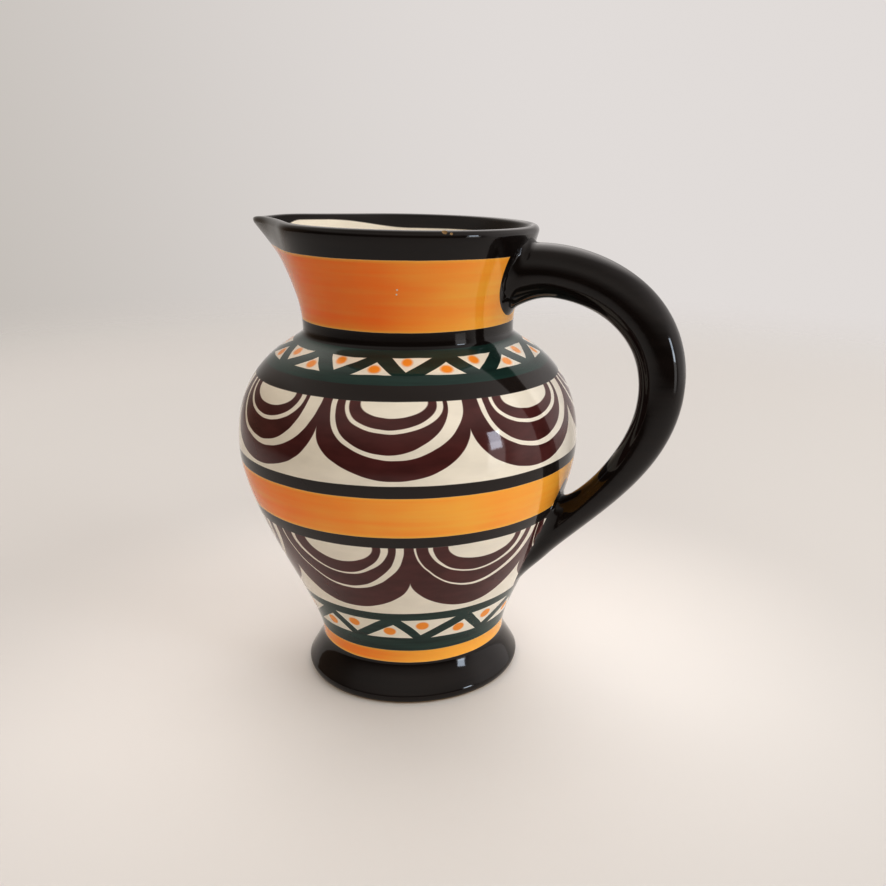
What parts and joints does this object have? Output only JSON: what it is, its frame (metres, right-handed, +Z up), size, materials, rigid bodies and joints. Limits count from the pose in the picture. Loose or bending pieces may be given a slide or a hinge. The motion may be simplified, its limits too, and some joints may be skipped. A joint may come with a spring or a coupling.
{
  "type": "ceramic jug",
  "caption": "Hollow glazed ceramic jug with a round belly, flared foot and neck, pulled pouring lip and a tubular loop handle, painted in bands.",
  "frame": {"origin": "centre of the foot's flat underside, on the surface the jug stands on", "axes": "+Z up along the turned body's axis, +X towards the handle, -X towards the pouring lip"},
  "size_m": [0.1937, 0.1476, 0.2012],
  "materials": {
    "glazed_earthenware": "gloss"
  },
  "bodies": {
    "root": {"jug": "glazed_earthenware"}
  },
  "joints": []
}
